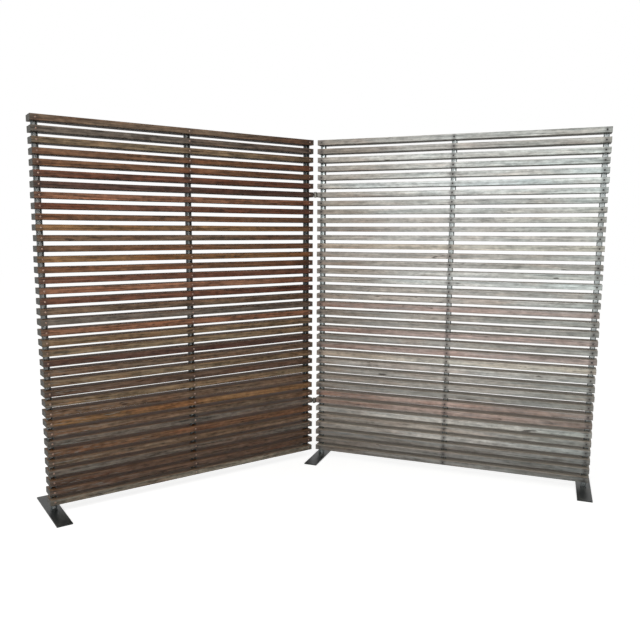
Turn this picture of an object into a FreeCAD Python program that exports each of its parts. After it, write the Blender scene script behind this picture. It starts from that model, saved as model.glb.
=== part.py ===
# Folding garden privacy screen.
# Two panels of horizontal hardwood slats, threaded on steel channel uprights,
# stand on three flat steel foot plates and are joined by two butt hinges.
# Millimetres and degrees.  The origin is the middle of the underside of the
# foot plate at the hinge end of the right panel.  +X runs along the right panel
# towards its free end, -Y is the side that the two panels fold towards, +Z is up.
import FreeCAD, Part
import math
import os

# ---- driving dimensions -------------------------------------------------

# Slats
slat_count = 38             # in each panel
slat_length = 1500.0
slat_height = 28.0
slat_depth = 75.0           # front face to back face
slat_gap = 19.6             # daylight between two slats
slat_edge_radius = 2.0      # eased long edges
ground_clearance = 39.6     # floor to the lowest slat

# Uprights: channel, open to the front, threaded through the middle of each slat
upright_width = 25.4
upright_depth = 25.4
upright_wall = 3.0
upright_inset = 12.0        # slat end to the near side of an end upright
upright_cover = 9.0         # wood over the upright's end in the top slat
mortise_fit = 0.4           # room on each side of an upright in its mortise

# Screws through the front of each slat into the web of each upright
screw_shank_diameter = 4.8
screw_head_diameter = 9.0
screw_head_height = 1.8

# Foot plates
foot_length = 400.0         # across the panel
foot_width = 72.0           # along the panel
foot_thickness = 6.0
foot_corner_radius = 3.0

# Hinges
hinge_slat = 7              # slat that carries a hinge, from the top and from the bottom
hinge_height = 28.0
barrel_diameter = 16.0
leaf_thickness = 3.0
leaf_edge_margin = 4.0      # bare wood behind the leaf on a slat's end
barrel_stand_off = 7.1      # slat's front face to the hinge line
barrel_relief = 0.6         # leaf's edge to the other leaf's barrel
pin_diameter = 8.0
pin_running_fit = 0.05      # on the radius, inside the barrel
pin_head_diameter = 12.0
pin_head_height = 2.0
knuckle_gap = 0.3           # between one knuckle and the next
middle_knuckle_height = 12.0

# Countersunk screws through the hinge leaves into the ends of the slats
leaf_screw_diameter = 4.0
leaf_screw_head_diameter = 7.6
leaf_screw_length = 34.0
leaf_screw_spread = 7.0     # above and below the middle of the slat
leaf_screw_inset = 12.5     # from the slat's front or back face

# The pose: the angle between the two front faces
panel_angle = 125.5

# ---- places worked out from the dimensions -------------------------------

slat_pitch = slat_height + slat_gap
panel_top = ground_clearance + slat_pitch * (slat_count - 1) + slat_height
upright_top = panel_top - upright_cover
front_face = -slat_depth / 2
end_station = upright_inset + upright_width / 2
stations = {
    "hinge_end": end_station,
    "middle": slat_length / 2,
    "free_end": slat_length - end_station,
}
stations_with_foot = {"right": ("hinge_end", "free_end"), "left": ("free_end",)}
barrel_radius = barrel_diameter / 2
hinge_x = -end_station - barrel_radius
hinge_y = front_face - barrel_stand_off
hinge_places = {"upper": hinge_slat - 1, "lower": slat_count - hinge_slat}
fold = 180.0 - panel_angle
sides = {"right": 1, "left": -1}
slats_in_node = 2


def vector(x, y, z):
    return FreeCAD.Vector(x, y, z)


def block(x_range, y_range, z_range):
    """A box between two values on each axis, given in either order."""
    low = [min(pair) for pair in (x_range, y_range, z_range)]
    high = [max(pair) for pair in (x_range, y_range, z_range)]
    size = [b - a for a, b in zip(low, high)]
    return Part.makeBox(size[0], size[1], size[2], vector(*low))


def upright_rod(radius, x, y, z_range):
    """A vertical cylinder."""
    height = z_range[1] - z_range[0]
    return Part.makeCylinder(radius, height, vector(x, y, z_range[0]))


def along(side, distance):
    """X of a point at a distance from the hinge end of a panel's slats."""
    return hinge_x + sides[side] * (barrel_radius + distance)


def slat_bottom(index):
    """Z of the underside of a slat, counted from 0 at the top."""
    return panel_top - slat_height - index * slat_pitch


def posed(side, shape):
    """The left panel is modelled in line with the right one, then folded."""
    if side == "left":
        shape.rotate(vector(hinge_x, hinge_y, 0), vector(0, 0, 1), fold)
    return shape


def save(side, node, solids):
    """One file for each node, which holds one solid or a group of them."""
    shape = solids[0] if len(solids) == 1 else Part.makeCompound(solids)
    posed(side, shape).exportStep("parts/" + node + ".step")


# ---- slats -----------------------------------------------------------------

def slat(side, index):
    """One slat with its eased edges, three mortises and screw holes."""
    bottom = slat_bottom(index)
    top = bottom + slat_height
    ends = (along(side, 0), along(side, slat_length))
    board = block(ends, (front_face, -front_face), (bottom, top))
    long_edges = [edge for edge in board.Edges if edge.Length > slat_length - 1]
    board = board.makeFillet(slat_edge_radius, long_edges)
    mortise_top = min(top, upright_top + mortise_fit)
    mortise_x = upright_width / 2 + mortise_fit
    mortise_y = upright_depth / 2 + mortise_fit
    for distance in stations.values():
        x = along(side, distance)
        board = board.cut(block(
            (x - mortise_x, x + mortise_x), (-mortise_y, mortise_y), (bottom, mortise_top)))
        board = board.cut(screw_shank(x, bottom + slat_height / 2))
    return board


def make_slats(side):
    for first in range(0, slat_count, slats_in_node):
        indices = range(first, min(first + slats_in_node, slat_count))
        node = "%s_slats_%02d_%02d" % (side, indices[0] + 1, indices[-1] + 1)
        solids = [slat_with_hinge_holes(side, index) for index in indices]
        save(side, node, solids)


def slat_with_hinge_holes(side, index):
    """The slats that carry a hinge also have holes in their ends."""
    board = slat(side, index)
    if index in hinge_places.values():
        for screw in leaf_screws(side, slat_bottom(index) + slat_height / 2):
            board = board.cut(screw)
    return board


# ---- screws that hold the slats ----------------------------------------------

def screw_shank(x, z):
    """From a slat's front face to the back of the upright's web."""
    length = upright_depth / 2 - front_face
    return Part.makeCylinder(
        screw_shank_diameter / 2, length, vector(x, front_face, z), vector(0, 1, 0))


def screw_head(x, z):
    """A low dome on the slat's front face."""
    rim = screw_head_diameter / 2
    ball = (rim ** 2 + screw_head_height ** 2) / (2 * screw_head_height)
    centre = vector(x, front_face - screw_head_height + ball, z)
    dome = Part.makeSphere(ball, centre)
    keep = Part.makeCylinder(
        rim * 2, screw_head_height, vector(x, front_face, z), vector(0, -1, 0))
    return dome.common(keep)


def make_slat_screws(side, station):
    x = along(side, stations[station])
    solids = []
    for index in range(slat_count):
        z = slat_bottom(index) + slat_height / 2
        solids.append(screw_shank(x, z).fuse(screw_head(x, z)))
    save(side, side + "_" + station + "_slat_screws", solids)


# ---- uprights and feet ---------------------------------------------------------

def make_upright(side, station):
    """A channel with its web at the back, standing on its foot plate if it has one."""
    x = along(side, stations[station])
    on_foot = station in stations_with_foot[side]
    bottom = foot_thickness if on_foot else ground_clearance
    half_width = upright_width / 2
    half_depth = upright_depth / 2
    inner = half_width - upright_wall
    height = (bottom, upright_top)
    channel = block((x - half_width, x + half_width), (-half_depth, half_depth), height)
    hollow = block((x - inner, x + inner), (-half_depth, half_depth - upright_wall), height)
    channel = channel.cut(hollow)
    for index in range(slat_count):
        channel = channel.cut(screw_shank(x, slat_bottom(index) + slat_height / 2))
    save(side, side + "_" + station + "_upright", [channel])


def make_foot(side, station):
    """A flat plate across the panel, with rounded corners."""
    x = along(side, stations[station])
    plate = block(
        (x - foot_width / 2, x + foot_width / 2),
        (-foot_length / 2, foot_length / 2),
        (0, foot_thickness))
    corners = [edge for edge in plate.Edges if abs(edge.tangentAt(edge.FirstParameter).z) > 0.5]
    save(side, side + "_" + station + "_foot", [plate.makeFillet(foot_corner_radius, corners)])


# ---- hinges -----------------------------------------------------------------------

def knuckle_ranges(side, middle):
    """The right leaf has the two outer knuckles, and the left leaf the middle one."""
    half = middle_knuckle_height / 2
    if side == "left":
        return [(middle - half, middle + half)]
    outer = half + knuckle_gap
    reach = hinge_height / 2
    return [(middle - reach, middle - outer), (middle + outer, middle + reach)]


def leaf_screws(side, middle):
    """Four countersunk screws, in front of the upright and behind it."""
    x = along(side, -leaf_thickness)
    direction = vector(sides[side], 0, 0)
    countersink = (leaf_screw_head_diameter - leaf_screw_diameter) / 2
    screws = []
    for y in (front_face + leaf_screw_inset, -front_face - leaf_screw_inset):
        for z in (middle - leaf_screw_spread, middle + leaf_screw_spread):
            place = vector(x, y, z)
            shank = Part.makeCylinder(leaf_screw_diameter / 2, leaf_screw_length, place, direction)
            head = Part.makeCone(
                leaf_screw_head_diameter / 2, leaf_screw_diameter / 2, countersink, place, direction)
            screws.append(shank.fuse(head))
    return screws


def make_leaf(side, hinge, middle):
    """A plate on the end of the slat, rolled round the pin at its knuckles."""
    plate_x = (along(side, -leaf_thickness), along(side, 0))
    plate_y = (hinge_y + barrel_radius + barrel_relief, -front_face - leaf_edge_margin)
    half = hinge_height / 2
    leaf = block(plate_x, plate_y, (middle - half, middle + half))
    for z_range in knuckle_ranges(side, middle):
        leaf = leaf.fuse(block(plate_x, (hinge_y, plate_y[0]), z_range))
        leaf = leaf.fuse(upright_rod(barrel_radius, hinge_x, hinge_y, z_range))
    bore = pin_diameter / 2 + pin_running_fit
    leaf = leaf.cut(upright_rod(bore, hinge_x, hinge_y, (middle - half, middle + half)))
    for screw in leaf_screws(side, middle):
        leaf = leaf.cut(screw)
    save(side, hinge + "_hinge_" + side + "_leaf", [leaf.removeSplitter()])


def hinge_pin(middle):
    """A plain pin with a flat head on each end."""
    half = hinge_height / 2
    ends = (middle - half, middle + half)
    pin = upright_rod(pin_diameter / 2, hinge_x, hinge_y, ends)
    for z_range in ((ends[0] - pin_head_height, ends[0]), (ends[1], ends[1] + pin_head_height)):
        pin = pin.fuse(upright_rod(pin_head_diameter / 2, hinge_x, hinge_y, z_range))
    return pin.removeSplitter()


def make_hinges():
    middles = {name: slat_bottom(index) + slat_height / 2 for name, index in hinge_places.items()}
    for side in sides:
        screws = []
        for name, middle in middles.items():
            make_leaf(side, name, middle)
            screws.extend(leaf_screws(side, middle))
        save(side, side + "_hinge_screws", screws)
    save("right", "hinge_pins", [hinge_pin(middle) for middle in middles.values()])


def main():
    os.makedirs("parts", exist_ok=True)
    for side in sides:
        make_slats(side)
        for station in stations:
            make_upright(side, station)
            make_slat_screws(side, station)
        for station in stations_with_foot[side]:
            make_foot(side, station)
    make_hinges()


main()
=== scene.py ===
"""Looks of a folding garden privacy screen: weathered hardwood slats on steel uprights."""

import math

import bmesh
import bpy
from bpy.props import FloatProperty, FloatVectorProperty, IntProperty, PointerProperty
from mathutils import Matrix, Vector


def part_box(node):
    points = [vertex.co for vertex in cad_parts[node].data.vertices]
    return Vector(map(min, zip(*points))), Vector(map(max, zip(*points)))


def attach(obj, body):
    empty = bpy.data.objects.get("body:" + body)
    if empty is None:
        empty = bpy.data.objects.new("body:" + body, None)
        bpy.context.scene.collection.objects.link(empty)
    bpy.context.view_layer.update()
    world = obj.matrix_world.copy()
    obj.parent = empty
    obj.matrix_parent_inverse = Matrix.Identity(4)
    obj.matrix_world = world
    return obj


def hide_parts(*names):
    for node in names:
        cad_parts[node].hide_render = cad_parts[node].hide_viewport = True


bl_info = {
    "name": "Garden privacy screen",
    "version": (1, 0, 0),
    "blender": (4, 5, 0),
    "location": "3D View > Sidebar > Screen",
    "description": "Dresses the two slatted panels, their steel uprights, feet and hinges",
    "category": "Object",
}

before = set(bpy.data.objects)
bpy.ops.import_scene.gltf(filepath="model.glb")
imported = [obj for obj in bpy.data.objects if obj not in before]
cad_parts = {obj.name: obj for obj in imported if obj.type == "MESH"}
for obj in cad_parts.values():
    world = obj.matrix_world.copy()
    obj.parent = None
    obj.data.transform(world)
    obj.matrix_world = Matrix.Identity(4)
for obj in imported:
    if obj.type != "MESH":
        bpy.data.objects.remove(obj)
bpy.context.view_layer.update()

# ---- places read from the frame ----

MM = 0.001
SIDES = {"right": 1, "left": -1}
BODIES = {"right": "right_panel", "left": "left_panel"}
SLAT_NODES = {
    side: sorted(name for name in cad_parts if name.startswith(side + "_slats_"))
    for side in SIDES
}
STATIONS = ("hinge_end", "middle", "free_end")
FEET = {"right": ("hinge_end", "free_end"), "left": ("free_end",)}
HINGES = ("upper", "lower")


def box_size(node):
    """The length of a CAD node on each axis."""
    low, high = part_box(node)
    return high - low


def box_middle(node):
    """The centre of a CAD node's box."""
    low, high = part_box(node)
    return (low + high) / 2


TOP_PAIR, SECOND_PAIR = SLAT_NODES["right"][:2]
SLAT_COUNT = 2 * len(SLAT_NODES["right"])
SLAT_PITCH = (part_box(TOP_PAIR)[1].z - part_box(SECOND_PAIR)[1].z) / 2
SLAT_HEIGHT = box_size(TOP_PAIR).z - SLAT_PITCH
SLAT_LENGTH = box_size(TOP_PAIR).x
SLAT_DEPTH = box_size(TOP_PAIR).y
PANEL_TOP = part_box(TOP_PAIR)[1].z
HINGE_LINE = Vector((*box_middle("hinge_pins").xy, 0))
SLAT_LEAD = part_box(TOP_PAIR)[0].x - HINGE_LINE.x
SLAT_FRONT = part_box(TOP_PAIR)[0].y - HINGE_LINE.y
SLAT_CENTRE = SLAT_FRONT + SLAT_DEPTH / 2
FOOT_THICKNESS = box_size("right_hinge_end_foot").z
UPRIGHT_WIDTH = box_size("right_middle_upright").x
UPRIGHT_DEPTH = box_size("right_middle_upright").y
STATION_PLACES = {
    station: box_middle("right_%s_upright" % station).x - HINGE_LINE.x for station in STATIONS
}
HINGE_SLATS = {
    round((PANEL_TOP - box_middle(hinge + "_hinge_right_leaf").z - SLAT_HEIGHT / 2) / SLAT_PITCH)
    for hinge in HINGES
}
LEFT_END = box_middle("left_free_end_upright")
FOLD = (
    math.atan2(LEFT_END.y - HINGE_LINE.y, LEFT_END.x - HINGE_LINE.x)
    - math.atan2(SLAT_CENTRE, -STATION_PLACES["free_end"]))
FOLDS = {"right": 0.0, "left": math.remainder(FOLD, 2 * math.pi)}

# ---- sizes that a node's box doesn't give ----

CHANNEL_WALL = 3.0 * MM
CHANNEL_TIP_RADIUS = 0.6 * MM
CHANNEL_INNER_RADIUS = 1.0 * MM
CORNER_STEPS = 3
WELD_RIPPLE_LENGTH = 1.6 * MM
BEAD_SEAT = 0.2             # of the bead's radius, above the foot plate
LEAF_EDGE = 0.35 * MM
PIN_EDGE = 0.5 * MM
LEAF_SCREW_SPREAD = 7.0 * MM
LEAF_SCREW_RISE = 0.25 * MM
LEAF_SCREW_DROP = 1.5 * MM
LEAF_SCREW_SEAT = 0.1 * MM
LEAF_SCREW_SEED = 5         # added to the slat screws' seed
SAME_PLACE = 0.001 * MM
HAIR = 0.01 * MM
FLAT_ANGLE = math.radians(0.5)
BEVEL_ANGLE = math.radians(40)
EDGE_ANGLE = 1.0            # radians, between the faces at a slat's edge
WHITE = (1.0, 1.0, 1.0)

# The lights: place, target and width.
KEY_LIGHT = ((-1.6, -4.6, 3.0), (0.3, -0.3, 0.9), 2.6)
FILL_LIGHT = ((3.6, -3.4, 2.4), (0.0, -0.4, 0.9), 2.6)
FLOOR_REACH = 14.0
CAMERA_PLACE = (1.2209, -3.6075, 1.3257)
CAMERA_PAN, CAMERA_TILT, CAMERA_ROLL = 20.557, -8.183, 0.18     # degrees
CAMERA_SHIFT = (0.0293, 0.0091)


def slat_middle_height(index):
    """Height of the middle of a slat, counted from 0 at the top."""
    return PANEL_TOP - SLAT_HEIGHT / 2 - index * SLAT_PITCH


def panel_matrix(side):
    """From a panel's own space to the frame: the origin is the hinge line at floor level."""
    return Matrix.Translation(HINGE_LINE) @ Matrix.Rotation(FOLDS[side], 4, "Z")


# ---- the wood's tones ----

# What a slat of each kind looks like in the middle of its length.
BOARDS = {
    # brown boards
    "drab": (97, 80, 65),
    "olive": (108, 92, 72),
    "umber": (98, 71, 52),
    "mahogany": (92, 61, 47),
    "plum": (72, 52, 44),
    "brick": (122, 86, 66),
    "honey": (114, 85, 57),
    "slate": (92, 84, 76),
    "walnut": (80, 63, 52),
    "bone": (112, 105, 93),
    # silvered boards of the right panel, lighter and greyer than the left panel's brown ones:
    # partly weathered wood, partly painted sheen of the more brightly lit panel; the palest
    # bluish ones, frost and silver, carry a painted highlight
    "frost": (200, 205, 203),
    "silver": (190, 192, 188),
    "dove": (178, 178, 173),
    "pewter": (167, 164, 158),
    "stone": (153, 149, 142),
    "sand": (184, 177, 165),
    "shell": (162, 145, 138),
    "clay": (152, 134, 125),
    "taupe": (138, 134, 127),
    "smoke": (120, 117, 112),
}

# The kind of each slat from the top down.
SLAT_BOARDS = {
    "right": (
        "dove pewter silver silver silver frost silver dove dove dove "
        "pewter dove sand pewter pewter dove silver pewter pewter shell "
        "stone stone shell stone shell sand pewter stone stone taupe "
        "clay clay dove stone pewter smoke smoke smoke"
    ),
    "left": (
        "drab slate olive umber umber mahogany plum brick mahogany umber "
        "honey drab umber honey umber mahogany brick mahogany drab slate "
        "brick olive olive plum drab olive walnut olive drab honey "
        "drab slate umber drab slate walnut walnut bone"
    ),
}


def linear(tone):
    """A tone of 0 to 255 a channel as Blender's linear colour."""
    channels = [value / 255 for value in tone]
    return tuple(
        c / 12.92 if c <= 0.04045 else ((c + 0.055) / 1.055) ** 2.4 for c in channels
    )


# ---- node trees ----


def math_node(operation, turned=False):
    """A method that adds one Math node, with its two operands turned round if asked."""
    def add_node(*values):
        inputs = dict(enumerate(reversed(values) if turned else values))
        return values[0].nodes.add("ShaderNodeMath", {"operation": operation}, inputs)
    return add_node


class Value:
    """An output socket. Python's operators on it add Math nodes to its tree."""

    def __init__(self, nodes, socket):
        self.nodes = nodes
        self.socket = socket

    __add__ = __radd__ = math_node("ADD")
    __sub__ = math_node("SUBTRACT")
    __rsub__ = math_node("SUBTRACT", turned=True)
    __mul__ = __rmul__ = math_node("MULTIPLY")
    __truediv__ = math_node("DIVIDE")
    __mod__ = math_node("MODULO")
    __gt__ = math_node("GREATER_THAN")
    __abs__ = math_node("ABSOLUTE")
    sine = math_node("SINE")
    least = math_node("MINIMUM")
    most = math_node("MAXIMUM")


class Nodes:
    """Adds nodes to a tree."""

    def __init__(self, tree):
        self.tree = tree
        tree.nodes.clear()

    def add(self, kind, settings=None, inputs=None, output=0):
        """A node's type, its settings, the values or links of its sockets, and the output."""
        node = self.tree.nodes.new(kind)
        for name, setting in (settings or {}).items():
            setattr(node, name, setting)
        for name, given in (inputs or {}).items():
            socket = node.inputs[name]
            if isinstance(given, Value):
                self.tree.links.new(given.socket, socket)
            else:
                socket.default_value = given
        return Value(self, node.outputs[output]) if node.outputs else None

    def axis(self, vector, letter):
        return self.add("ShaderNodeSeparateXYZ", {}, {0: vector}, letter)

    def vector(self, operation, first, second, socket=1):
        settings = {"operation": operation}
        return self.add("ShaderNodeVectorMath", settings, {0: first, socket: second})

    def scaled(self, vector, factor):
        """A vector or a colour times one number."""
        return self.vector("SCALE", vector, factor, "Scale")

    def noise(self, place, stretch, detail=2.0, roughness=0.5):
        """Soft noise of 0 to 1. stretch gives the number of cells in a metre on each axis."""
        cells = self.vector("MULTIPLY", place, stretch)
        settings = {"Vector": cells, "Scale": 1.0, "Detail": detail, "Roughness": roughness}
        return self.add("ShaderNodeTexNoise", {}, settings)

    def rise(self, value, start, end, low=0.0, high=1.0):
        """Goes smoothly from low to high as value goes from start to end."""
        settings = {"interpolation_type": "SMOOTHSTEP"}
        return self.add(
            "ShaderNodeMapRange", settings, dict(enumerate((value, start, end, low, high))))

    def mix(self, factor, first, second, blend="MIX"):
        """Two colours mixed."""
        settings = {"data_type": "RGBA", "blend_type": blend, "clamp_factor": True}
        return self.add("ShaderNodeMix", settings, {0: factor, 6: first, 7: second}, 2)

    def tinted(self, factor, base, tint):
        """A colour taken towards itself times a tint."""
        return self.mix(factor, base, tint, "MULTIPLY")

    def chance(self, item, seed, low, high):
        """A random number between low and high that is an item's own."""
        return self.add("FunctionNodeRandomValue", {"data_type": "FLOAT"}, {
            2: low, 3: high, "ID": item, "Seed": seed}, 1)


def colour(rgb):
    """A colour socket's four numbers."""
    return (*rgb, 1.0)


def new_material(name):
    material = bpy.data.materials.new(name)
    material.use_nodes = True
    return material, Nodes(material.node_tree)


def finish_material(
        nodes, base, roughness, height, bump, distance, metallic=0.0, gloss=0.5):
    """One shader for every surface: what varies goes to colour, roughness and bump."""
    normal = nodes.add(
        "ShaderNodeBump", {}, {"Strength": bump, "Distance": distance, "Height": height})
    surface = nodes.add("ShaderNodeBsdfPrincipled", {}, {
        "Base Color": base, "Roughness": roughness, "Metallic": metallic, "Normal": normal,
        "Specular IOR Level": gloss})
    nodes.add("ShaderNodeOutputMaterial", {}, {"Surface": surface})


def panel_place(nodes, side):
    """The point in the panel's own space, which doesn't turn as the screen folds."""
    place = nodes.add("ShaderNodeTexCoord", {}, {}, "Object")
    return nodes.add("ShaderNodeMapping", {"vector_type": "TEXTURE"}, {
        "Vector": place, "Location": HINGE_LINE, "Rotation": (0.0, 0.0, FOLDS[side])})


def from_station(along):
    """How far a point along a panel is from the middle of the nearest upright."""
    nearest, *others = [abs(along - place) for place in STATION_PLACES.values()]
    for other in others:
        nearest = nearest.least(other)
    return nearest


def wood_material(side, finish):
    """Weathered hardwood: grain along the slat, stains, knots, silvering and end grain, with
    painted shade and painted sheen.
    """
    material, nodes = new_material(side + "_slat_wood")
    place = panel_place(nodes, side)
    along = abs(nodes.axis(place, "X"))
    depth = nodes.axis(place, "Y") - SLAT_FRONT
    height = nodes.axis(place, "Z")
    below_top = (PANEL_TOP - height) % SLAT_PITCH
    up = height / PANEL_TOP
    tone = nodes.add("ShaderNodeAttribute", {"attribute_name": "board"}, {}, "Color")
    end_wear = nodes.add("ShaderNodeAttribute", {"attribute_name": "end_wear"}, {}, "Fac")

    patches = nodes.noise(place, (1.7, 9, 21), 1.0)
    bands = nodes.noise(place, (1.3, 45, 95), 2.0)
    blotches = nodes.noise(place, (9, 30, 60), 3.0, 0.6)
    streaks = nodes.noise(place, (6, 100, 150), 3.0, 0.62)
    mottle = nodes.noise(place, (34, 50, 70), 2.0, 0.55)
    fibres = nodes.noise(place, (7, 260, 430), 4.0, 0.62)
    pores = nodes.noise(place, (26, 700, 1100), 2.0)
    film = nodes.noise(place, (3.5, 40, 70), 3.0, 0.65)
    figure = nodes.noise(place, (0.9, 6, 9), 2.0)
    flame = nodes.noise(place, (2.7, 14, 22), 2.0, 0.6)

    # the board's tone with its streaks, darkened and warmed towards the hinge by painted shade
    # and the wood's warmer tone, and lightened high up towards the free end by painted sheen
    share = (along - SLAT_LEAD) / SLAT_LENGTH + (patches - 0.5) * 0.6
    light = 1 + (bands - 0.5) * 0.9 + (blotches - 0.5) * 0.9
    light = light + (streaks - 0.5) * finish.streaks + (mottle - 0.5) * finish.mottle
    base = nodes.scaled(tone, light.most(0.3) * finish.gain)
    base = nodes.tinted(1.0, base, colour(finish.tint))
    # painted shade: the hinge end, the corner between the two panels, is darkened, most strongly
    # high up; the warmer tint is the wood's own
    hinge_shade_and_warmth = nodes.rise(share, 0.5, 0.0) * nodes.rise(up, 0.3, 0.6, finish.hinge_low)
    base = nodes.tinted(hinge_shade_and_warmth, base, colour(finish.hinge_tint))
    # painted sheen: the free end is lighter high up and darker low down, with a bluish painted
    # reflection on the right panel
    free_end_sheen = nodes.rise(up, 0.1, 0.7, finish.free_low, finish.free_high)
    free_end_sheen_tone = nodes.scaled(tuple(finish.free_tint), free_end_sheen)
    base = nodes.tinted(nodes.rise(share, 0.5, 1.0), base, free_end_sheen_tone)
    warmer = nodes.rise(figure, 0.45, 0.7) * 0.6
    base = nodes.tinted(warmer, base, colour(finish.warm_tint))
    redder = nodes.rise(flame, 0.5, 0.68) * finish.redness
    base = nodes.tinted(redder, base, colour(finish.red_tint))
    greyer = nodes.rise(flame, 0.5, 0.34) * finish.redness
    base = nodes.tinted(greyer, base, colour(finish.grey_tint))

    # silvered film, worn off in patches
    silvering = nodes.rise(film, 0.42, 0.68) * finish.silvering
    base = nodes.mix(silvering, base, colour(finish.silver_colour))

    # grain
    dark_lines = nodes.rise(fibres, 0.54, 0.68)
    light_lines = nodes.rise(fibres, 0.46, 0.33)
    base = nodes.mix(dark_lines * finish.grain_depth, base, nodes.scaled(base, 0.45))
    base = nodes.mix(light_lines * finish.grain_depth * 0.6, base, nodes.scaled(base, 1.35))
    open_pores = nodes.rise(pores, 0.56, 0.68) * finish.pores
    base = nodes.mix(open_pores, base, nodes.scaled(base, 0.35))

    # pale scuffs low down towards the free end
    scuffs = nodes.rise(nodes.noise(place, (14, 210, 300), 2.0, 0.6), 0.58, 0.66)
    scuffs = scuffs * nodes.rise(share, 0.6, 0.95) * nodes.rise(up, 0.5, 0.25)
    base = nodes.mix(scuffs * finish.scuffs, base, colour(finish.scuff_colour))

    # knots and dark stains
    blots = nodes.noise(place, (11, 30, 48), 2.0)
    knots = nodes.rise(blots + (figure - 0.5) * 0.25, 0.70, 0.76)
    base = nodes.mix(knots * 0.75, base, colour(finish.knot_colour))

    # iron stain round the screws on the front
    ragged = from_station(along) + (film - 0.5) * (30 * MM)
    stain = nodes.rise(ragged, 22 * MM, 2 * MM) * nodes.rise(depth, 20 * MM, 0.0)
    base = nodes.mix(stain * finish.screw_stain, base, colour(finish.stain_colour))

    # pale worn top and edges, and painted shade on the underside
    top = nodes.rise(below_top + (fibres - 0.5) * (4 * MM), 2.2 * MM, 0.2 * MM)
    front_edge = nodes.rise(depth + (bands - 0.5) * (3 * MM), 2.4 * MM, 0.4 * MM)
    base = nodes.mix(top * (0.35 + film * 0.3), base, colour(finish.top_colour))
    # painted shade: the underside of each slat is darkened
    under = nodes.rise(below_top, SLAT_HEIGHT - 1.6 * MM, SLAT_HEIGHT - 0.4 * MM)
    base = nodes.mix(under * 0.8, base, nodes.scaled(base, 0.3))
    worn = (top * front_edge) * nodes.rise(film, 0.35, 0.6)
    base = nodes.mix(worn * 0.5, base, colour(finish.silver_colour))

    # greyed ends, and end grain on the sawn faces
    greyed = nodes.rise(end_wear + (film - 0.5) * 0.8, 0.35, 1.2) * finish.end_greying
    base = nodes.mix(greyed, base, colour(finish.end_colour))
    sawn = nodes.rise(end_wear, 0.975, 0.995)
    rings_place = nodes.vector("MULTIPLY", place, (20, 120, 380))
    rings = nodes.add("ShaderNodeTexWave", {"wave_type": "RINGS", "rings_direction": "X"}, {
        "Vector": rings_place, "Scale": 0.55, "Distortion": 5.0, "Detail": 3.0,
        "Detail Scale": 1.6})
    end_tone = nodes.scaled(tuple(finish.end_colour), 0.42 + rings * 0.55)
    base = nodes.mix(sawn, base, end_tone)

    saw_marks = nodes.noise(place, (240, 9, 14), 1.0)
    relief = fibres * 0.55 + bands * 0.35 + saw_marks * 0.18 - knots * 0.4 - dark_lines * 0.35
    roughness = finish.roughness + (fibres - 0.5) * 0.3 + silvering * 0.1
    finish_material(nodes, base, roughness, relief, 0.7, 1.2 * MM, gloss=0.15)
    return material


def channel_highlight_mask(nodes, side, flange_share):
    """Where the painted highlight goes: 1 on the web inside an upright, and flange_share on the
    inner sides of its flanges.
    """
    place = panel_place(nodes, side)
    across = from_station(abs(nodes.axis(place, "X")))
    inner = UPRIGHT_WIDTH / 2 - CHANNEL_WALL
    web = nodes.axis(place, "Y") - (SLAT_CENTRE + UPRIGHT_DEPTH / 2 - CHANNEL_WALL)
    between = nodes.rise(across, inner + 0.3 * MM, inner + 0.1 * MM)
    on_web = nodes.rise(abs(web), 0.9 * MM, 0.2 * MM)
    return between * on_web.most(flange_share)


def steel_material(name, finish, dust, side=None):
    """Dark mill-finished steel with scuffs, dust and a little rust.

    An upright also gives its side, for the painted highlight inside its channel.
    """
    material, nodes = new_material(name)
    place = nodes.add("ShaderNodeTexCoord", {}, {}, "Object")
    cloud = nodes.noise(place, (14, 14, 9), 4.0, 0.6)
    speck = nodes.noise(place, (240, 240, 240), 2.0)
    scratch = nodes.noise(place, (45, 620, 60), 2.0, 0.7)
    cross_scratch = nodes.noise(place, (560, 40, 60), 2.0, 0.7)
    rust = nodes.noise(place, (38, 38, 30), 5.0, 0.7)

    base = nodes.mix(nodes.rise(cloud, 0.35, 0.68), colour(finish.dark), colour(finish.light))
    base = nodes.scaled(base, 0.86 + speck * 0.28)
    scuffs = nodes.rise(scratch, 0.66, 0.74).most(nodes.rise(cross_scratch, 0.68, 0.76))
    scuffs = scuffs * nodes.rise(cloud, 0.40, 0.60)
    base = nodes.mix(scuffs * finish.scuffs, base, colour(finish.scuff_colour))
    rusted = nodes.rise(rust + (cloud - 0.5) * 0.3, 0.60, 0.70) * finish.rust
    base = nodes.mix(rusted, base, colour(finish.rust_colour))
    dusty = nodes.rise(cloud + (speck - 0.5) * 0.3, 0.45, 0.75) * dust
    base = nodes.mix(dusty, base, colour(finish.dust_colour))

    roughness = finish.roughness + (cloud - 0.5) * 0.25 + rusted * 0.25 + scuffs * 0.08
    metallic = finish.metallic * (1 - rusted) * (1 - dusty)
    if side:
        # painted highlight: the web inside the channel, and a share of its inner flanges, is
        # made pale
        inside = channel_highlight_mask(nodes, side, finish.flange_share)
        bright = nodes.scaled(tuple(finish.inside), 0.8 + cloud * 0.4)
        base = nodes.mix(inside, base, bright)
        metallic = metallic + inside * (finish.inside_metallic - metallic)
        roughness = roughness + inside * (finish.inside_roughness - finish.roughness)
    height = speck * 0.5 + rusted * rust + scuffs * -0.3
    finish_material(nodes, base, roughness, height, 0.35, 0.6 * MM, metallic)
    return material


# ---- geometry node trees ----


PANEL_INPUTS = {"Hinge line": "Vector", "Fold": "Float", "Material": "Material"}


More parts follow.
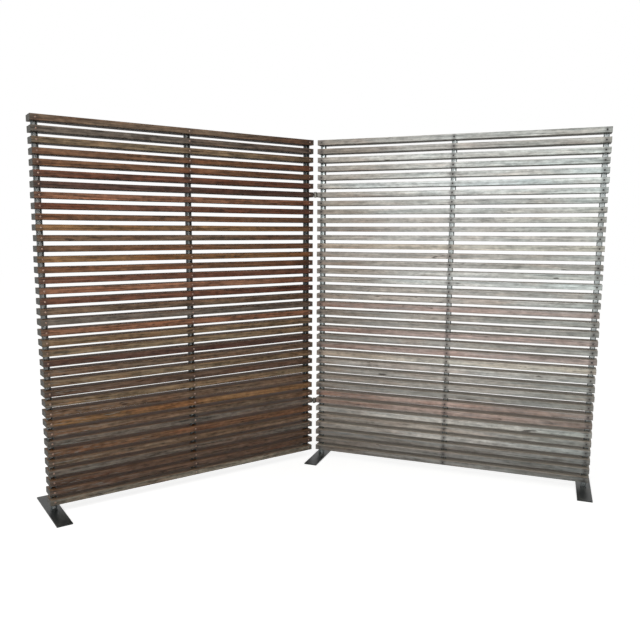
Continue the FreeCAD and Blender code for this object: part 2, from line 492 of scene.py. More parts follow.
def new_tree(name, inputs):
    """A Geometry Nodes tree with a mesh in, a mesh out and named inputs."""
    tree = bpy.data.node_groups.new(name, "GeometryNodeTree")
    tree.interface.new_socket("Points", in_out="INPUT", socket_type="NodeSocketGeometry")
    for label, kind in {**inputs, **PANEL_INPUTS}.items():
        tree.interface.new_socket(label, in_out="INPUT", socket_type="NodeSocket" + kind)
    tree.interface.new_socket("Mesh", in_out="OUTPUT", socket_type="NodeSocketGeometry")
    nodes = Nodes(tree)
    group = tree.nodes.new("NodeGroupInput")
    given = {socket.name: Value(nodes, socket) for socket in group.outputs if socket.name}
    return tree, nodes, given


def close_tree(nodes, given, mesh):
    """Turns the result into the panel's place in the frame, and gives it its material."""
    mesh = nodes.add("GeometryNodeRealizeInstances", {}, {"Geometry": mesh})
    mesh = nodes.add("GeometryNodeTransform", {}, {
        "Geometry": mesh, "Translation": given["Hinge line"],
        "Rotation": nodes.add("ShaderNodeCombineXYZ", {}, {"Z": given["Fold"]})})
    mesh = nodes.add("GeometryNodeSetMaterial", {}, {
        "Geometry": mesh, "Material": given["Material"]})
    nodes.add("NodeGroupOutput", {}, {"Mesh": mesh})


def stored(nodes, mesh, domain, name, value):
    """A mesh with a number stored on each of its points or edges."""
    settings = {"data_type": "FLOAT", "domain": domain}
    return nodes.add("GeometryNodeStoreNamedAttribute", settings, {
        "Geometry": mesh, "Name": name, "Value": value})


def slat_tree():
    """One slat on each point, each a little bowed and cut a little short."""
    tree, nodes, given = new_tree("Slats", {
        "Slat length": "Float", "Slat depth": "Float", "Slat height": "Float",
        "Rings": "Int", "End edge": "Float", "Side": "Float", "Lead": "Float",
        "Bow": "Float", "Sag": "Float", "Trim": "Float", "Seed": "Int",
    })
    length = given["Slat length"]
    size = nodes.add("ShaderNodeCombineXYZ", {}, {
        "X": length, "Y": given["Slat depth"], "Z": given["Slat height"]})
    bar = nodes.add("GeometryNodeMeshCube", {}, {
        "Size": size, "Vertices X": given["Rings"], "Vertices Y": 2, "Vertices Z": 2})

    ends = [
        nodes.axis(nodes.add("GeometryNodeInputMeshEdgeVertices", {}, {}, name), "X")
        for name in ("Position 1", "Position 2")
    ]
    runs_along = abs(ends[0] - ends[1]) > HAIR
    corner = nodes.add("GeometryNodeInputMeshEdgeAngle") > EDGE_ANGLE
    weight = runs_along + (1 - runs_along) * corner * given["End edge"]
    bar = stored(nodes, bar, "EDGE", "bevel_weight_edge", weight)
    place = nodes.add("GeometryNodeInputPosition")
    at_end = abs(nodes.axis(place, "X")) > length * 0.5 - HAIR
    bar = stored(nodes, bar, "POINT", "end_wear", at_end)
    slats = nodes.add("GeometryNodeInstanceOnPoints", {}, {
        "Points": given["Points"], "Instance": bar})
    slats = nodes.add("GeometryNodeRealizeInstances", {}, {"Geometry": slats})

    number = nodes.add(
        "GeometryNodeInputNamedAttribute", {"data_type": "INT"}, {"Name": "slat_number"})
    loose = nodes.add(
        "GeometryNodeInputNamedAttribute", {"data_type": "FLOAT"}, {"Name": "loose_end"})
    seed = given["Seed"]
    share = (nodes.axis(place, "X") * given["Side"] - given["Lead"]) / length
    hinge_trim = nodes.chance(number, seed + 1, 0.0, 1.0) * given["Trim"] * loose
    free_trim = nodes.chance(number, seed + 2, 0.0, 1.0) * given["Trim"]
    wave = (share * (2 * math.pi)).sine()
    bow = wave * given["Bow"] * nodes.chance(number, seed + 3, -1.0, 1.0)
    sag = wave * wave * given["Sag"] * nodes.chance(number, seed + 4, 0.0, 1.0)
    reach = given["Lead"] + hinge_trim + share * (length - hinge_trim - free_trim)
    moved = nodes.add("ShaderNodeCombineXYZ", {}, {
        "X": reach * given["Side"],
        "Y": nodes.axis(place, "Y") + bow, "Z": nodes.axis(place, "Z") - sag})
    slats = nodes.add("GeometryNodeSetPosition", {}, {"Geometry": slats, "Position": moved})
    close_tree(nodes, given, slats)
    return tree


def screw_tree():
    """One screw head on each point, each turned its own way and seated a little differently."""
    tree, nodes, given = new_tree("Screw heads", {
        "Head": "Object", "Spin axis": "Vector", "Seat axis": "Vector", "Seat spread": "Float",
        "Seed": "Int",
    })
    head = nodes.add("GeometryNodeObjectInfo", {}, {"Object": given["Head"]}, "Geometry")
    number = nodes.add("GeometryNodeInputIndex")
    turn = nodes.chance(number, given["Seed"], 0.0, math.pi / 2)
    seat = nodes.chance(number, given["Seed"] + 1, 0.0, 1.0)
    sunk = nodes.scaled(given["Seat axis"], seat * given["Seat spread"])
    points = nodes.add("GeometryNodeSetPosition", {}, {
        "Geometry": given["Points"], "Offset": sunk})
    heads = nodes.add("GeometryNodeInstanceOnPoints", {}, {
        "Points": points, "Instance": head, "Rotation": nodes.scaled(given["Spin axis"], turn)})
    close_tree(nodes, given, heads)
    return tree


def weld_tree():
    """A rippled weld bead along each line of points."""
    tree, nodes, given = new_tree("Weld beads", {
        "Bead radius": "Float", "Ripple": "Float", "Ripple length": "Float",
    })
    path = nodes.add("GeometryNodeMeshToCurve", {}, {"Mesh": given["Points"]})
    path = nodes.add("GeometryNodeResampleCurve", {"mode": "LENGTH"}, {
        "Curve": path, "Length": given["Ripple length"]})
    profile = nodes.add("GeometryNodeCurvePrimitiveCircle", {}, {
        "Resolution": 10, "Radius": given["Bead radius"]})
    bead = nodes.add("GeometryNodeCurveToMesh", {}, {
        "Curve": path, "Profile Curve": profile, "Fill Caps": True})
    place = nodes.add("GeometryNodeInputPosition")
    ripple = nodes.noise(place, (260, 260, 90), 2.0)
    normal = nodes.add("GeometryNodeInputNormal")
    bead = nodes.add("GeometryNodeSetPosition", {}, {
        "Geometry": bead, "Offset": nodes.scaled(normal, (ripple - 0.5) * given["Ripple"])})
    close_tree(nodes, given, bead)
    return tree


# ---- meshes and objects ----


def link(name, mesh):
    piece = bpy.data.objects.new(name, mesh)
    bpy.context.scene.collection.objects.link(piece)
    return piece


def grown(name, tree, mesh, side, values):
    """Runs a tree on a mesh, and returns its result as a plain mesh's object."""
    source = link(name + "_source", mesh)
    modifier = source.modifiers.new("Nodes", "NODES")
    modifier.node_group = tree
    values = {**values, "Hinge line": HINGE_LINE, "Fold": FOLDS[side]}
    for item in tree.interface.items_tree:
        if item.in_out == "INPUT" and item.name in values:
            modifier[item.identifier] = values[item.name]
    graph = bpy.context.evaluated_depsgraph_get()
    result = bpy.data.meshes.new_from_object(
        source.evaluated_get(graph), preserve_all_data_layers=True, depsgraph=graph)
    bpy.data.objects.remove(source)
    result.name = name
    if not result.polygons:
        raise RuntimeError("no faces were made for " + name)
    return link(name, result)


def points_mesh(name, places, edges=()):
    mesh = bpy.data.meshes.new(name)
    mesh.from_pydata(places, edges, [])
    return mesh


def shade(piece, angle=35.0):
    """Smooth shading, with the edges sharper than an angle left sharp."""
    mesh = piece.data
    mesh.polygons.foreach_set("use_smooth", [True] * len(mesh.polygons))
    mesh.set_sharp_from_angle(angle=math.radians(angle))


def bevel(piece, width, segments, by_weight=False):
    modifier = piece.modifiers.new("Eased edges", "BEVEL")
    modifier.width = width
    modifier.segments = segments
    modifier.limit_method = "WEIGHT" if by_weight else "ANGLE"
    modifier.angle_limit = BEVEL_ANGLE


def settle(piece, side, nodes):
    """Rides the piece on its panel and hides the CAD nodes it stands for."""
    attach(piece, BODIES[side])
    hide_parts(*nodes)


def merged_copy(name, nodes, material):
    """A copy of CAD nodes' meshes as one mesh with its flat faces whole."""
    work = bmesh.new()
    for node in nodes:
        work.from_mesh(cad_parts[node].data)
    bmesh.ops.remove_doubles(work, verts=work.verts, dist=SAME_PLACE)
    bmesh.ops.dissolve_limit(
        work, angle_limit=FLAT_ANGLE, verts=work.verts, edges=work.edges)
    mesh = bpy.data.meshes.new(name)
    work.to_mesh(mesh)
    work.free()
    if "custom_normal" in mesh.attributes:
        mesh.attributes.remove(mesh.attributes["custom_normal"])
    mesh.materials.clear()
    mesh.materials.append(material)
    mesh.polygons.foreach_set("material_index", [0] * len(mesh.polygons))
    return link(name, mesh)


def mesh_of(work, name):
    """A mesh from a bmesh, with its faces turned outwards."""
    bmesh.ops.recalc_face_normals(work, faces=work.faces)
    mesh = bpy.data.meshes.new(name)
    work.to_mesh(mesh)
    work.free()
    return mesh


def rounded_channel(corner_radius):
    """The upright's section from above, open to the front, with rounded corners."""
    half_width, half_depth = UPRIGHT_WIDTH / 2, UPRIGHT_DEPTH / 2
    inner, web = half_width - CHANNEL_WALL, half_depth - CHANNEL_WALL
    tip, bend = CHANNEL_TIP_RADIUS, CHANNEL_INNER_RADIUS
    corners = [
        (-half_width, -half_depth, tip), (-inner, -half_depth, tip),
        (-inner, web, bend), (inner, web, bend),
        (inner, -half_depth, tip), (half_width, -half_depth, tip),
        (half_width, half_depth, corner_radius), (-half_width, half_depth, corner_radius),
    ]
    outline = []
    for index, (x, y, radius) in enumerate(corners):
        here = Vector((x, y))
        before = Vector(corners[index - 1][:2])
        after = Vector(corners[(index + 1) % len(corners)][:2])
        start = here + (before - here).normalized() * radius
        end = here + (after - here).normalized() * radius
        for step in range(CORNER_STEPS + 1):
            t = step / CORNER_STEPS
            outline.append(start.lerp(here, t).lerp(here.lerp(end, t), t))
    return outline


def extruded(outlines):
    """Closed prisms, each from an outline, a bottom and a top."""
    work = bmesh.new()
    for outline, bottom, top in outlines:
        rings = [[work.verts.new((x, y, z)) for x, y in outline] for z in (bottom, top)]
        work.faces.new(reversed(rings[0]))
        work.faces.new(rings[1])
        count = len(outline)
        for index in range(count):
            after = (index + 1) % count
            work.faces.new(
                (rings[0][index], rings[0][after], rings[1][after], rings[1][index]))
    return mesh_of(work, "prisms")


def screw_head_mesh(radius, rise, recess_depth, rim_drop):
    """A head with a cross recess, its axis on +Z and its seat at zero."""
    arm, bar = radius * 0.56, radius * 0.17
    cross = [
        (arm, -bar), (arm, bar), (bar, bar), (bar, arm), (-bar, arm), (-bar, bar),
        (-arm, bar), (-arm, -bar), (-bar, -bar), (-bar, -arm), (bar, -arm), (bar, -bar),
    ]
    angles = [math.atan2(y, x) for x, y in cross]
    circle = [(math.cos(angle) * radius, math.sin(angle) * radius) for angle in angles]
    levels = (
        (circle, 1.0, -rim_drop),
        (circle, 1.0, rise * 0.22),
        (circle, 0.8, rise * 0.72),
        (cross, 1.0, rise),
        (cross, 0.8, rise - recess_depth),
    )
    work = bmesh.new()
    rings = [
        [work.verts.new((x * taper, y * taper, z)) for x, y in outline]
        for outline, taper, z in levels]
    count = len(cross)
    for lower, upper in zip(rings, rings[1:]):
        for index in range(count):
            after = (index + 1) % count
            work.faces.new((lower[index], lower[after], upper[after], upper[index]))
    under, floor = rings[0], rings[-1]
    inner_corners = (2, 5, 8, 11)
    work.faces.new(reversed(under))
    work.faces.new([floor[corner] for corner in inner_corners])
    for corner in inner_corners:
        work.faces.new([floor[(corner + step) % count] for step in range(4)])
    return mesh_of(work, "screw_head")


# ---- settings ----


def size(label, description, default):
    return FloatProperty(
        name=label, description=description, default=default, min=0.0,
        subtype="DISTANCE", unit="LENGTH")


def share(label, description, default):
    return FloatProperty(
        name=label, description=description, default=default, min=0.0, max=1.0,
        subtype="FACTOR")


def paint(label, description, default):
    return FloatVectorProperty(
        name=label, description=description, default=default, size=3, min=0.0, max=1.0,
        subtype="COLOR")


def amount(label, description, default):
    return FloatProperty(name=label, description=description, default=default, min=0.0)


def power(label, description, default):
    return FloatProperty(name=label, description=description, default=default, unit="POWER")


class WoodFinish(bpy.types.PropertyGroup):
    gain: amount("Gain", "Makes up for the dark lines of the grain", 1.0)
    streaks: amount("Streaks", "Contrast of the long streaks", 1.2)
    mottle: amount("Mottle", "Contrast of the short marks", 0.8)
    tint: paint("Tint", "Tints the whole wood", WHITE)
    # painted shade: the hinge end tint darkens the corner between the panels
    hinge_tint: paint("Hinge end tint", "Tints the hinge end", (0.87, 0.84, 0.82))
    hinge_low: share("Hinge end, low", "Strength of that tint near the floor", 0.9)
    # painted sheen: the free end tint and its lightness high up and low down
    free_tint: paint("Free end tint", "Tints the free end", WHITE)
    free_high: amount("Free end, high", "Lightness of the free end near the top", 1.05)
    free_low: amount("Free end, low", "Lightness of the free end near the floor", 0.82)
    scuff_colour: paint("Scuff colour", "Pale scuffs", linear((150, 148, 140)))
    scuffs: share("Scuffs", "Strength of the pale scuffs", 0.2)
    red_tint: paint("Red tint", "Tints the reddest patches", (1.0, 0.74, 0.64))
    grey_tint: paint("Grey tint", "Tints the coldest patches", (0.9, 0.97, 1.0))
    redness: share("Redness", "Strength of the red and the cold patches", 0.2)
    silver_colour: paint("Silver", "Weathered film on the wood", linear((150, 150, 146)))
    silvering: share("Silvering", "How much of the wood is weathered to silver", 0.3)
    warm_tint: paint("Warm tint", "Tints the redder parts of the figure", (1.0, 0.86, 0.76))
    knot_colour: paint("Knots", "Knots and dark stains", linear((46, 36, 32)))
    stain_colour: paint("Iron stain", "Stain round the screws", linear((52, 50, 54)))
    screw_stain: share("Screw stain", "Strength of the stain round the screws", 0.4)
    top_colour: paint("Top", "Dusty upper faces and edges", linear((150, 144, 132)))
    end_colour: paint("Ends", "Greyed ends and end grain", linear((120, 118, 112)))
    end_greying: share("End greying", "How much the ends are greyed", 0.5)
    grain_depth: share("Grain", "Contrast of the grain", 0.5)
    pores: share("Pores", "Strength of the open pores", 0.5)
    roughness: share("Roughness", "Roughness of the wood", 0.62)


class SteelFinish(bpy.types.PropertyGroup):
    dark: paint("Dark", "Darker patches", linear((62, 70, 72)))
    light: paint("Light", "Lighter patches", linear((96, 106, 108)))
    # painted highlight: the pale colour inside a channel
    inside: paint("Inside", "Bright zinc inside a channel", linear((214, 218, 214)))
    flange_share: share("Inner flanges", "How much the flanges are like the inside", 0.25)
    inside_roughness: share("Inside roughness", "Roughness of the inside", 0.5)
    inside_metallic: share("Inside metallic", "Share of bare metal on the inside", 1.0)
    scuff_colour: paint("Scuffs", "Bright scratches", linear((128, 132, 130)))
    scuffs: share("Scuffing", "Strength of the scratches", 0.5)
    rust_colour: paint("Rust", "Rust spots", linear((92, 62, 44)))
    rust: share("Rusting", "Strength of the rust", 0.35)
    dust_colour: paint("Dust", "Dust and dried dirt", linear((128, 124, 114)))
    metallic: share("Metallic", "Share of bare metal in the surface", 0.45)
    roughness: share("Roughness", "Roughness of the steel", 0.5)


class SlatSettings(bpy.types.PropertyGroup):
    rings: IntProperty(
        name="Rings", description="Divisions along a slat", default=33, min=2)
    edge_radius: size("Edge radius", "Rounding of the long edges", 2.0 * MM)
    end_edge: share("End edge", "Rounding of the ends, as a share of the long edges'", 0.35)
    bow: size("Bow", "How far a slat bows forwards or back between uprights", 1.2 * MM)
    sag: size("Sag", "How far a slat sags between uprights", 1.0 * MM)
    trim: size("Trim", "How much shorter than the longest slat an end may be cut", 3.5 * MM)
    seed: IntProperty(name="Seed", description="Seed of the slats' unevenness", default=7)


class UprightSettings(bpy.types.PropertyGroup):
    corner_radius: size("Corner radius", "Outside corners of the channel", 2.4 * MM)
    foot_edge: size("Foot edge", "Worn edge of the foot plates", 0.7 * MM)
    bead_radius: size("Weld bead", "Radius of the weld round an upright's foot", 2.3 * MM)
    bead_ripple: size("Weld ripple", "Unevenness of the weld", 1.6 * MM)


class ScrewSettings(bpy.types.PropertyGroup):
    head_radius: size("Slat screw head", "Radius of the slat screws' heads", 4.5 * MM)
    head_height: size("Head height", "Height of the slat screws' heads", 1.8 * MM)
    leaf_head_radius: size("Leaf screw head", "Radius of the hinge screws' heads", 3.7 * MM)
    recess: size("Recess", "Depth of the cross recess", 1.3 * MM)
    seat_spread: size("Seat spread", "How unevenly the heads are driven in", 0.5 * MM)
    seed: IntProperty(name="Seed", description="Seed of the heads' turns", default=3)


class StageSettings(bpy.types.PropertyGroup):
    floor_colour: paint("Floor", "Floor and backdrop", linear((196, 196, 194)))
    key_power: power("Key light", "Power of the large front light", 84.0)
    fill_power: power("Fill light", "Power of the fill light", 34.0)
    sky: share("Sky", "Strength of the light from all round", 0.44)
    lift: share("Floor lift", "How much paler than lit the floor is seen", 0.76)
    lens: FloatProperty(
        name="Lens", description="Focal length on a 36 mm sensor", default=36.993,
        subtype="DISTANCE_CAMERA")


WOOD_FINISHES = {
    "right": dict(
        gain=1.57, streaks=1.5, mottle=1.0, pores=0.35, grain_depth=0.6, roughness=0.55,
        hinge_tint=(0.60, 0.53, 0.48), free_tint=(0.93, 0.99, 1.0), free_high=1.04,
        free_low=0.82, warm_tint=(1.0, 0.92, 0.86), redness=0.5, red_tint=(1.0, 0.85, 0.79),
        silver_colour=linear((186, 192, 192)), silvering=0.3, screw_stain=0.5,
        top_colour=linear((204, 186, 162)), end_colour=linear((126, 122, 116))),
    "left": dict(
        gain=1.6, streaks=3.0, mottle=1.6, grain_depth=0.65, roughness=0.58, scuffs=0.8,
        tint=(1.0, 0.995, 0.99), hinge_tint=(0.66, 0.58, 0.56), hinge_low=0.15, free_high=1.1,
        free_low=0.95, warm_tint=(1.0, 0.82, 0.68), redness=0.75, red_tint=(1.0, 0.80, 0.70),
        silver_colour=linear((122, 110, 96)), silvering=0.16, screw_stain=0.3,
        top_colour=linear((140, 98, 60)), end_colour=linear((92, 90, 84))),
}
STEEL_FINISHES = {
    # painted sheen: the right panel's uprights are given lighter steel than the left's, and
    # their inner flanges the full painted highlight of the inside
    "right_upright": dict(
        dark=linear((78, 84, 84)), light=linear((112, 118, 118)),
        inside=linear((200, 206, 206)), flange_share=1.0, inside_roughness=0.3),
    "left_upright": dict(
        inside=linear((220, 224, 222)), inside_roughness=0.5, inside_metallic=0.35),
    "foot": dict(
        dark=linear((30, 33, 32)), light=linear((46, 50, 48)), scuffs=0.6, rust=0.15,
        roughness=0.42, metallic=0.3),
    "hinge": dict(
        dark=linear((92, 88, 82)), light=linear((140, 136, 128)), rust=0.6, roughness=0.42,
        metallic=0.8),
    # one kind of screw on both panels: the left heads are painted lighter, a painted glint, and
    # the right heads darker, painted shade, with more rust
    "bright_screw": dict(
        dark=linear((148, 120, 104)), light=linear((184, 156, 138)), rust=0.15,
        roughness=0.5, metallic=0.5),
    "dark_screw": dict(
        dark=linear((62, 60, 58)), light=linear((96, 92, 88)), rust=0.4, roughness=0.5,
        metallic=0.6),
}
# painted glint on the left panel's screw heads, painted shade on the right's
SCREW_FINISHES = {"left": "bright_screw_steel", "right": "dark_screw_steel"}


class ScreenSettings(bpy.types.PropertyGroup):
    slats: PointerProperty(type=SlatSettings)
    uprights: PointerProperty(type=UprightSettings)
    screws: PointerProperty(type=ScrewSettings)
    stage: PointerProperty(type=StageSettings)
    right_wood: PointerProperty(type=WoodFinish)
    left_wood: PointerProperty(type=WoodFinish)
    right_upright_steel: PointerProperty(type=SteelFinish)
    left_upright_steel: PointerProperty(type=SteelFinish)
    foot_steel: PointerProperty(type=SteelFinish)
    hinge_steel: PointerProperty(type=SteelFinish)
    bright_screw_steel: PointerProperty(type=SteelFinish)
    dark_screw_steel: PointerProperty(type=SteelFinish)


def first_finishes(settings):
    """Gives each finish its own starting colours."""
    groups = {side + "_wood": values for side, values in WOOD_FINISHES.items()}
    groups.update({name + "_steel": values for name, values in STEEL_FINISHES.items()})
    for name, values in groups.items():
        group = getattr(settings, name)
        for key, value in values.items():
            setattr(group, key, value)


# ---- operators ----


def station_nodes(side, stations, kind):
    return ["%s_%s_%s" % (side, station, kind) for station in stations]


class GARDENSCREEN_OT_slats(bpy.types.Operator):
    """Make the slats of both panels"""

    bl_idname = "gardenscreen.slats"
    bl_label = "Slats"

    def execute(self, context):
        settings = context.scene.garden_screen
        slats = settings.slats
        tree = slat_tree()
        for side, sign in SIDES.items():
            finish = getattr(settings, side + "_wood")
            middle = sign * (SLAT_LEAD + SLAT_LENGTH / 2)
            points = points_mesh(side + "_slat_points", [
                (middle, SLAT_CENTRE, slat_middle_height(index))
                for index in range(SLAT_COUNT)])
            numbers = points.attributes.new("slat_number", "INT", "POINT")
            numbers.data.foreach_set("value", range(SLAT_COUNT))
            loose = points.attributes.new("loose_end", "FLOAT", "POINT")
            loose.data.foreach_set(
                "value", [float(index not in HINGE_SLATS) for index in range(SLAT_COUNT)])
            boards = points.attributes.new("board", "FLOAT_COLOR", "POINT")
            for index, kind in enumerate(SLAT_BOARDS[side].split()):
                boards.data[index].color = colour(linear(BOARDS[kind]))
            piece = grown(side + "_slats", tree, points, side, {
                "Slat length": SLAT_LENGTH, "Slat depth": SLAT_DEPTH,
                "Slat height": SLAT_HEIGHT, "Rings": slats.rings,
                "End edge": slats.end_edge, "Side": float(sign), "Lead": SLAT_LEAD,
                "Bow": slats.bow, "Sag": slats.sag, "Trim": slats.trim,
                "Seed": slats.seed + 10 * sign, "Material": wood_material(side, finish)})
            shade(piece)
            bevel(piece, slats.edge_radius, 3, by_weight=True)
            settle(piece, side, SLAT_NODES[side])
        return {"FINISHED"}


class GARDENSCREEN_OT_uprights(bpy.types.Operator):
    """Make the channel uprights"""

    bl_idname = "gardenscreen.uprights"
    bl_label = "Uprights"

    def execute(self, context):
        settings = context.scene.garden_screen
        section = rounded_channel(settings.uprights.corner_radius)
        for side, sign in SIDES.items():
            name = side + "_upright_steel"
            material = steel_material(name, getattr(settings, name), 0.15, side)
            nodes = station_nodes(side, STATIONS, "upright")
            prisms = []
            for station, node in zip(STATIONS, nodes):
                low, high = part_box(node)
                shift = Vector((sign * STATION_PLACES[station], SLAT_CENTRE))
                prisms.append(([point + shift for point in section], low.z, high.z))
            mesh = extruded(prisms)
            mesh.transform(panel_matrix(side))
            mesh.materials.append(material)
            piece = link(side + "_uprights", mesh)
            shade(piece)
            settle(piece, side, nodes)
        return {"FINISHED"}


class GARDENSCREEN_OT_feet(bpy.types.Operator):
    """Make the foot plates and the welds that hold the uprights on them"""

    bl_idname = "gardenscreen.feet"
    bl_label = "Feet"

    def execute(self, context):
        settings = context.scene.garden_screen
        uprights = settings.uprights
        material = steel_material("foot_steel", settings.foot_steel, 0.2)
        weld_steel = steel_material("weld_steel", settings.foot_steel, 0.1)
        tree = weld_tree()
        # round the back of the channel, and not across its open front
        half = UPRIGHT_WIDTH / 2
        route = [(-half, -half), (-half, half), (half, half), (half, -half)]
        level = FOOT_THICKNESS + uprights.bead_radius * BEAD_SEAT
        for side, sign in SIDES.items():
            nodes = station_nodes(side, FEET[side], "foot")
            plates = merged_copy(side + "_foot_plates", nodes, material)
            shade(plates)
            bevel(plates, uprights.foot_edge, 2)
            settle(plates, side, nodes)
            places, edges = [], []
            for station in FEET[side]:
                first = len(places)
                centre = sign * STATION_PLACES[station]
                places += [(centre + x, SLAT_CENTRE + y, level) for x, y in route]
                edges += [(first + step, first + step + 1) for step in range(3)]
            path = points_mesh("weld_path", places, edges)
            beads = grown(side + "_foot_welds", tree, path, side, {
                "Bead radius": uprights.bead_radius, "Ripple": uprights.bead_ripple,
                "Ripple length": WELD_RIPPLE_LENGTH, "Material": weld_steel})
            shade(beads, 60)
            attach(beads, BODIES[side])
        return {"FINISHED"}


class GARDENSCREEN_OT_hinges(bpy.types.Operator):
    """Make the hinge leaves and pins"""

    bl_idname = "gardenscreen.hinges"
    bl_label = "Hinges"

    def execute(self, context):
        settings = context.scene.garden_screen
        material = steel_material("hinge_steel", settings.hinge_steel, 0.15)
        for side in SIDES:
            nodes = ["%s_hinge_%s_leaf" % (hinge, side) for hinge in HINGES]
            leaves = merged_copy(side + "_hinge_leaves", nodes, material)
            shade(leaves)
            bevel(leaves, LEAF_EDGE, 2)
            settle(leaves, side, nodes)
        pins = merged_copy("hinge_pins_steel", ["hinge_pins"], material)
        shade(pins)
        bevel(pins, PIN_EDGE, 2)
        settle(pins, "right", ["hinge_pins"])
        return {"FINISHED"}


class GARDENSCREEN_OT_screws(bpy.types.Operator):
    """Make the heads of the slat screws and the hinge screws"""

    bl_idname = "gardenscreen.screws"
    bl_label = "Screws"

    def execute(self, context):
        settings = context.scene.garden_screen
        screws = settings.screws
        tree = screw_tree()
        hinge_steel = steel_material("hinge_screw_steel", settings.hinge_steel, 0.1)
        domed = screw_head_mesh(
            screws.head_radius, screws.head_height, screws.recess, screws.seat_spread * 2)
        domed.transform(Matrix.Rotation(math.pi / 2, 4, "X"))
        domed_head = link("domed_head", domed)
        low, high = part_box("right_hinge_screws")
        reach = low.x - HINGE_LINE.x
        rows = [
            low.y + screws.leaf_head_radius - HINGE_LINE.y,
            high.y - screws.leaf_head_radius - HINGE_LINE.y]
        levels = [
            box_middle(hinge + "_hinge_right_leaf").z + step * LEAF_SCREW_SPREAD
            for hinge in HINGES for step in (-1, 1)]
        for side, sign in SIDES.items():
            finish = getattr(settings, SCREW_FINISHES[side])
            points = points_mesh("screw_points", [
                (sign * STATION_PLACES[station], SLAT_FRONT, slat_middle_height(index))
                for station in STATIONS for index in range(SLAT_COUNT)])
            heads = grown(side + "_screw_heads", tree, points, side, {
                "Head": domed_head, "Spin axis": (0.0, 1.0, 0.0), "Seat axis": (0.0, 1.0, 0.0),
                "Seat spread": screws.seat_spread, "Seed": screws.seed + sign,
                "Material": steel_material(side + "_screw_steel", finish, 0.1)})
            shade(heads, 50)
            settle(heads, side, station_nodes(side, STATIONS, "slat_screws"))

            flat = screw_head_mesh(
                screws.leaf_head_radius, LEAF_SCREW_RISE, screws.recess, LEAF_SCREW_DROP)
            flat.transform(Matrix.Rotation(-sign * math.pi / 2, 4, "Y"))
            flat_head = link(side + "_flat_head", flat)
            points = points_mesh(
                "leaf_screw_points", [(sign * reach, y, z) for y in rows for z in levels])
            heads = grown(side + "_leaf_screw_heads", tree, points, side, {
                "Head": flat_head, "Spin axis": (1.0, 0.0, 0.0),
                "Seat axis": (float(sign), 0.0, 0.0), "Seat spread": LEAF_SCREW_SEAT,
                "Seed": screws.seed + LEAF_SCREW_SEED + sign, "Material": hinge_steel})
            shade(heads, 50)
            settle(heads, side, [side + "_hinge_screws"])
            bpy.data.objects.remove(flat_head)
        bpy.data.objects.remove(domed_head)
        return {"FINISHED"}


class GARDENSCREEN_OT_stage(bpy.types.Operator):
    """Make the floor, the lights, the sky and the camera"""

    bl_idname = "gardenscreen.stage"
    bl_label = "Stage"

    def execute(self, context):
        stage = context.scene.garden_screen.stage
        make_floor(stage)
        make_sky(stage)
        make_light("key_light", *KEY_LIGHT, stage.key_power)
        make_light("fill_light", *FILL_LIGHT, stage.fill_power)
        make_camera(stage)
        context.scene.view_settings.view_transform = "Standard"
        return {"FINISHED"}


def seen_directly(nodes):
    """1 for what the camera sees, also in a mirror or through glass."""
    path = {
        name: nodes.add("ShaderNodeLightPath", {}, {}, name)
        for name in ("Is Camera Ray", "Is Glossy Ray", "Is Transmission Ray")
    }
    return path["Is Camera Ray"].most(path["Is Glossy Ray"]).most(path["Is Transmission Ray"])


def make_floor(stage):
    """A pale floor that reads as white and keeps the shadow."""
    mesh = bpy.data.meshes.new("floor")
    reach = FLOOR_REACH
    corners = [(-reach, -reach, 0), (reach, -reach, 0), (reach, reach, 0), (-reach, reach, 0)]
    mesh.from_pydata(corners, [], [(0, 1, 2, 3)])
    material, nodes = new_material("pale_floor")
    paper = nodes.add("ShaderNodeBsdfDiffuse", {}, {"Color": colour(stage.floor_colour)})
    lift = nodes.add("ShaderNodeEmission", {}, {
        "Color": colour(WHITE), "Strength": seen_directly(nodes) * stage.lift})
    both = nodes.add("ShaderNodeAddShader", {}, {0: paper, 1: lift})
    nodes.add("ShaderNodeOutputMaterial", {}, {"Surface": both})
    mesh.materials.append(material)
    link("floor", mesh)


def make_sky(stage):
    """Even light from all round, seen as white."""
    world = bpy.data.worlds.new("sky")
    world.use_nodes = True
    bpy.context.scene.world = world
    nodes = Nodes(world.node_tree)
    seen = seen_directly(nodes)
    strength = seen + (1 - seen) * stage.sky
    sky = nodes.add("ShaderNodeBackground", {}, {
        "Color": colour(WHITE), "Strength": strength})
    nodes.add("ShaderNodeOutputWorld", {}, {"Surface": sky})


def make_light(name, place, target, width, power):
    lamp = bpy.data.lights.new(name, "AREA")
    lamp.shape = "SQUARE"
    lamp.size = width
    lamp.energy = power
    light = link(name, lamp)
    light.location = place
    aim = Vector(target) - Vector(place)
    light.rotation_euler = aim.to_track_quat("-Z", "Y").to_euler()


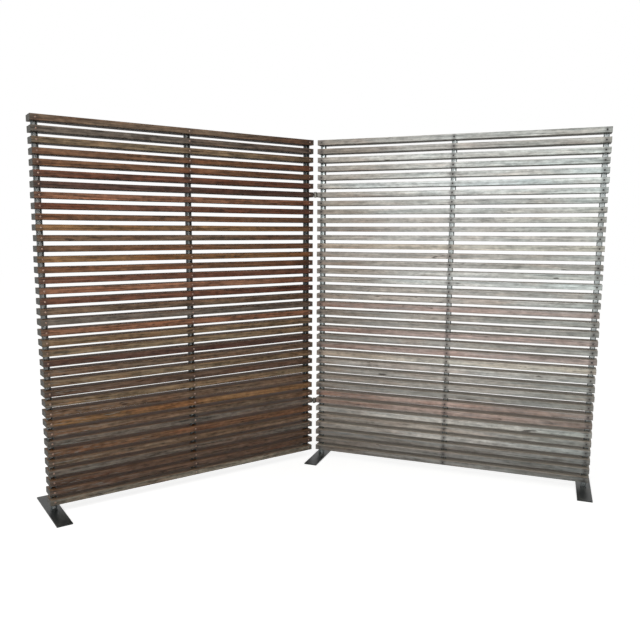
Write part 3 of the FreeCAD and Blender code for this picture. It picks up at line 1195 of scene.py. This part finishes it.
def make_camera(stage):
    """The photograph's viewpoint."""
    camera = bpy.data.cameras.new("camera")
    camera.sensor_width = 36.0
    camera.lens = stage.lens
    camera.shift_x, camera.shift_y = CAMERA_SHIFT
    camera.clip_end = 60.0
    piece = link("camera", camera)
    turn = (
        Matrix.Rotation(math.radians(CAMERA_PAN), 4, "Z")
        @ Matrix.Rotation(math.radians(90 + CAMERA_TILT), 4, "X")
        @ Matrix.Rotation(math.radians(CAMERA_ROLL), 4, "Z"))
    piece.matrix_world = Matrix.Translation(CAMERA_PLACE) @ turn
    bpy.context.scene.camera = piece


# ---- the add-on ----


class GARDENSCREEN_PT_sidebar(bpy.types.Panel):
    """The screen's settings and the steps that make it"""

    bl_label = "Garden screen"
    bl_space_type = "VIEW_3D"
    bl_region_type = "UI"
    bl_category = "Screen"

    def draw(self, context):
        settings = context.scene.garden_screen
        for name in settings.__annotations__:
            group = getattr(settings, name)
            column = self.layout.box().column()
            column.label(text=name.replace("_", " ").capitalize())
            for key in group.__annotations__:
                column.prop(group, key)
        for step in STEPS:
            self.layout.operator(step.bl_idname)


STEPS = (
    GARDENSCREEN_OT_slats,
    GARDENSCREEN_OT_uprights,
    GARDENSCREEN_OT_feet,
    GARDENSCREEN_OT_hinges,
    GARDENSCREEN_OT_screws,
    GARDENSCREEN_OT_stage,
)
GROUPS = (
    WoodFinish,
    SteelFinish,
    SlatSettings,
    UprightSettings,
    ScrewSettings,
    StageSettings,
    ScreenSettings,
)
CLASSES = GROUPS + STEPS + (GARDENSCREEN_PT_sidebar,)


def register():
    for item in CLASSES:
        bpy.utils.register_class(item)
    bpy.types.Scene.garden_screen = PointerProperty(type=ScreenSettings)


def unregister():
    del bpy.types.Scene.garden_screen
    for item in reversed(CLASSES):
        bpy.utils.unregister_class(item)


def main():
    register()
    first_finishes(bpy.context.scene.garden_screen)
    bpy.ops.gardenscreen.stage()
    bpy.ops.gardenscreen.slats()
    bpy.ops.gardenscreen.uprights()
    bpy.ops.gardenscreen.feet()
    bpy.ops.gardenscreen.hinges()
    bpy.ops.gardenscreen.screws()


if __name__ == "__main__":
    main()
